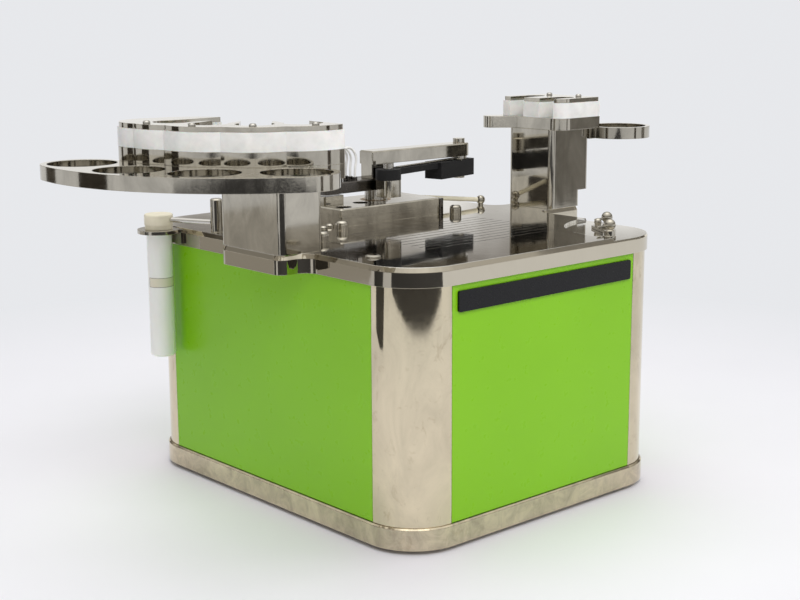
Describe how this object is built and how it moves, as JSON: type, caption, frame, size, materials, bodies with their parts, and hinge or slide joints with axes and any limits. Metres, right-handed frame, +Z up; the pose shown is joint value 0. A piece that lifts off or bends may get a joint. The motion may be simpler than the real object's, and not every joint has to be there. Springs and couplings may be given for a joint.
{
  "type": "liquid handling robot",
  "caption": "Bench liquid handler: mirror-topped housing, two-link arm on a lift, tool docks on both sides, tube holders and a side wash bottle.",
  "frame": {"origin": "middle of the whole footprint, on the bench", "axes": "+X to the right along the front panel, +Y to the back, +Z up"},
  "size_m": [0.5624, 0.3284, 0.2995],
  "materials": {
    "black_rubber": "matt moulded rubber",
    "nickel": "warm champagne nickel, faintly mottled",
    "green_panel": "glossy lime-green paint",
    "black_gloss": "glossy black strip",
    "mirror_deck": "polished mirror deck",
    "chrome": "bright polished metal",
    "dark_metal": "dark satin metal",
    "black_plastic": "matt black",
    "bronze": "plain bearing bronze",
    "aluminium": "milled aluminium",
    "steel": "ground steel",
    "white_acetal": "white acetal",
    "clear_plastic": "translucent plastic",
    "cream_plastic": "cream plastic",
    "circuit_board": "green circuit board",
    "clear_tube": "clear flexible tube"
  },
  "bodies": {
    "housing": {"arm_housing": "chrome", "base_plate": "nickel", "column_bush": "bronze", "controller_board": "circuit_board", "corner_posts": "nickel", "data_port": "black_plastic", "deck_button": "black_plastic", "deck_plate": "mirror_deck", "dock_screws": "steel", "domed_screws": "chrome", "front_panel": "green_panel", "guide_rods": "steel", "housing_end_bracket": "dark_metal", "left_dock_base": "chrome", "left_dock_block": "white_acetal", "left_dock_cover": "chrome", "left_panel": "green_panel", "left_tower": "chrome", "left_tube_plate": "chrome", "lift_motor": "dark_metal", "locating_pegs": "chrome", "nameplate_bar": "black_gloss", "power_inlet": "black_plastic", "power_supply": "aluminium", "rear_panel": "green_panel", "right_dock_base": "chrome", "right_dock_block": "white_acetal", "right_dock_cover": "chrome", "right_panel": "green_panel", "right_tower": "chrome", "right_tube_ring": "chrome", "rocker_frame": "black_plastic", "rubber_feet": "black_rubber", "tubing_block": "chrome", "valve_block": "white_acetal", "wash_cap": "cream_plastic", "wash_holder": "chrome", "wash_line_post": "chrome", "wash_transfer_tube": "cream_plastic"},
    "lift": {"lift_carriage": "aluminium", "lead_nut": "bronze", "lift_column": "steel", "shoulder_motor": "dark_metal"},
    "turret": {"shoulder_shaft": "steel", "turret_plate": "dark_metal", "upper_arm": "chrome", "elbow_spacer": "steel", "elbow_pin": "chrome", "tube_loop_1": "clear_tube", "tube_loop_2": "clear_tube", "tube_loop_3": "clear_tube"},
    "forearm_link": {"forearm": "black_plastic", "forearm_tube": "steel"},
    "head": {"dispense_head": "chrome", "needle": "steel", "wrist_screw": "steel"},
    "screw": {"lead_screw": "steel"},
    "clamp": {"clamp_lever": "chrome"},
    "bottle": {"wash_bottle": "clear_plastic"},
    "rocker": {"power_rocker": "black_plastic"}
  },
  "joints": [
    {"name": "arm_lift", "type": "slide", "parent": "housing", "child": "lift", "axis": [0, 0, 1], "range_m": [0, 0.06]},
    {"name": "shoulder_turn", "type": "hinge", "parent": "lift", "child": "turret", "pos_m": [0.03637, 0.05, 0.23], "axis": [0, 0, 1], "range_deg": [-90, 90]},
    {"name": "elbow_turn", "type": "hinge", "parent": "turret", "child": "forearm_link", "pos_m": [0.13287, 0.05, 0.24], "axis": [0, 0, 1], "range_deg": [0, 90]},
    {"name": "wrist_turn", "type": "hinge", "parent": "forearm_link", "child": "head", "pos_m": [0.03358, 0.0303, 0.235], "axis": [0, 0, 1], "range_deg": [-90, 90]},
    {"name": "lead_screw_turn", "type": "hinge", "parent": "housing", "child": "screw", "pos_m": [0.03637, 0.094, 0.1], "axis": [0, 0, 1], "continuous": true},
    {"name": "clamp_turn", "type": "hinge", "parent": "housing", "child": "clamp", "pos_m": [0.11447, -0.1374, 0.205], "axis": [0, 0, 1], "range_deg": [-12, 0], "stiffness_Nm_per_rad": 0.3},
    {"name": "bottle_turn", "type": "hinge", "parent": "housing", "child": "bottle", "pos_m": [-0.13262, 0.1172, 0.195], "axis": [0, 0, 1], "continuous": true},
    {"name": "power_rocker_tilt", "type": "hinge", "parent": "housing", "child": "rocker", "pos_m": [-0.00662, 0.1597, 0.062], "axis": [1, 0, 0], "range_deg": [-14, 0]}
  ],
  "couplings": [
    {"joint": "lead_screw_turn", "follows": "arm_lift", "rad_per_m": 628.32}
  ]
}
